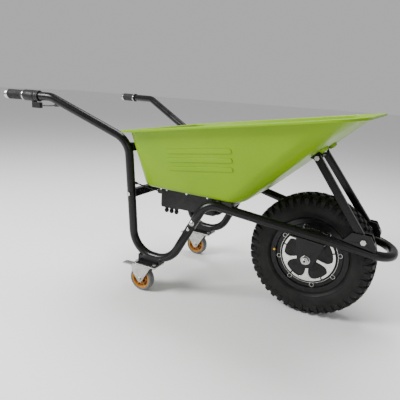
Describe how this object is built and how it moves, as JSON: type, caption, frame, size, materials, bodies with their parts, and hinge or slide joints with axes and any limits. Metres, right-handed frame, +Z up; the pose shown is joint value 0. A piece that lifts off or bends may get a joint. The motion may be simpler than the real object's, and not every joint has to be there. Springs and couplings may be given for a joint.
{
  "type": "power wheelbarrow",
  "caption": "Motor-driven wheelbarrow: plastic tub on a bent tube frame with a hub-motor front wheel, two braked swivel casters and a thumb throttle.",
  "frame": {"origin": "on the ground, under the middle of the machine's length and width", "axes": "+X towards the drive wheel, +Y to the operator's left, +Z up"},
  "size_m": [1.4423, 0.7488, 0.7365],
  "materials": {
    "green": "satin moulded plastic",
    "black_paint": "semi-gloss powder coat",
    "zinc": "bright zinc plate",
    "bolt_steel": "satin",
    "tyre_rubber": "matt rubber",
    "hub_black": "black painted casting",
    "grey_tread": "matt rubber",
    "yellow_core": "moulded nylon",
    "black_plastic": "moulded plastic",
    "grip_rubber": "matt rubber",
    "steel": "ground",
    "magnet": "plated",
    "battery": "heat-shrink sleeve"
  },
  "bodies": {
    "chassis": {"axle": "steel", "axle_nuts_and_washers": "bolt_steel", "battery_box": "black_plastic", "battery_box_lid": "black_plastic", "battery_pack": "battery", "box_screws": "bolt_steel", "cable_glands": "black_plastic", "cable_grommets": "black_plastic", "caster_bolts": "bolt_steel", "cross_bar_bolts": "bolt_steel", "front_rail_loop": "black_paint", "grip_rings": "bolt_steel", "left_caster_adapter_plate": "black_paint", "left_caster_plate": "zinc", "left_front_strut": "black_paint", "left_grip": "grip_rubber", "left_handle_collar": "black_plastic", "left_handle_leg_tube": "black_paint", "left_nose_gusset": "black_paint", "left_wheel_bracket": "black_paint", "leg_joint_bolts": "bolt_steel", "leg_joint_sleeves": "steel", "motor_controller": "black_plastic", "rear_cross_bar": "black_paint", "right_caster_adapter_plate": "black_paint", "right_caster_plate": "zinc", "right_front_strut": "black_paint", "right_grip": "grip_rubber", "right_handle_leg_tube": "black_paint", "right_nose_gusset": "black_paint", "right_wheel_bracket": "black_paint", "stator": "steel", "strut_foot_bolts": "bolt_steel", "strut_top_bolt": "bolt_steel", "throttle_cable": "black_plastic", "throttle_housing": "black_plastic", "tub": "green", "tub_bolts": "bolt_steel", "tub_front_bracket": "black_paint", "tub_rear_brackets": "black_paint", "tub_saddles": "black_paint"},
    "drive_wheel": {"tyre": "tyre_rubber", "wheel_casting": "hub_black", "right_hub_cover": "hub_black", "left_hub_cover": "hub_black", "cover_bolts": "bolt_steel", "rotor_magnets": "magnet", "hub_bearings": "steel", "valve_stem": "black_plastic"},
    "throttle_lever_body": {"throttle_lever": "black_plastic"},
    "right_caster_swivel": {"right_caster_fork": "zinc", "right_caster_axle_bolt": "bolt_steel"},
    "right_caster_wheel": {"right_caster_tread": "grey_tread", "right_caster_core": "yellow_core"},
    "right_pedal": {"right_brake_pedal": "zinc"},
    "left_caster_swivel": {"left_caster_fork": "zinc", "left_caster_axle_bolt": "bolt_steel"},
    "left_caster_wheel": {"left_caster_tread": "grey_tread", "left_caster_core": "yellow_core"},
    "left_pedal": {"left_brake_pedal": "zinc"}
  },
  "joints": [
    {"name": "drive_wheel_spin", "type": "hinge", "parent": "chassis", "child": "drive_wheel", "pos_m": [0.437, 0, 0.225], "axis": [0, 1, 0], "continuous": true},
    {"name": "throttle", "type": "hinge", "parent": "chassis", "child": "throttle_lever_body", "pos_m": [-0.72, -0.357, 0.716], "axis": [-0.9883, -0.1528, 0], "range_deg": [0, 30], "stiffness_Nm_per_rad": 0.12, "springref_deg": -20.05},
    {"name": "right_caster_swivel", "type": "hinge", "parent": "chassis", "child": "right_caster_swivel", "pos_m": [-0.118, -0.227, 0.1], "axis": [0, 0, 1], "continuous": true},
    {"name": "right_caster_spin", "type": "hinge", "parent": "right_caster_swivel", "child": "right_caster_wheel", "pos_m": [-0.15, -0.227, 0.05], "axis": [0, 1, 0], "continuous": true},
    {"name": "right_caster_brake", "type": "hinge", "parent": "right_caster_swivel", "child": "right_pedal", "pos_m": [-0.184, -0.227, 0.092], "axis": [0, -1, 0], "range_deg": [0, 12]},
    {"name": "left_caster_swivel", "type": "hinge", "parent": "chassis", "child": "left_caster_swivel", "pos_m": [-0.118, 0.227, 0.1], "axis": [0, 0, 1], "continuous": true},
    {"name": "left_caster_spin", "type": "hinge", "parent": "left_caster_swivel", "child": "left_caster_wheel", "pos_m": [-0.15, 0.227, 0.05], "axis": [0, 1, 0], "continuous": true},
    {"name": "left_caster_brake", "type": "hinge", "parent": "left_caster_swivel", "child": "left_pedal", "pos_m": [-0.184, 0.227, 0.092], "axis": [0, -1, 0], "range_deg": [0, 12]}
  ]
}
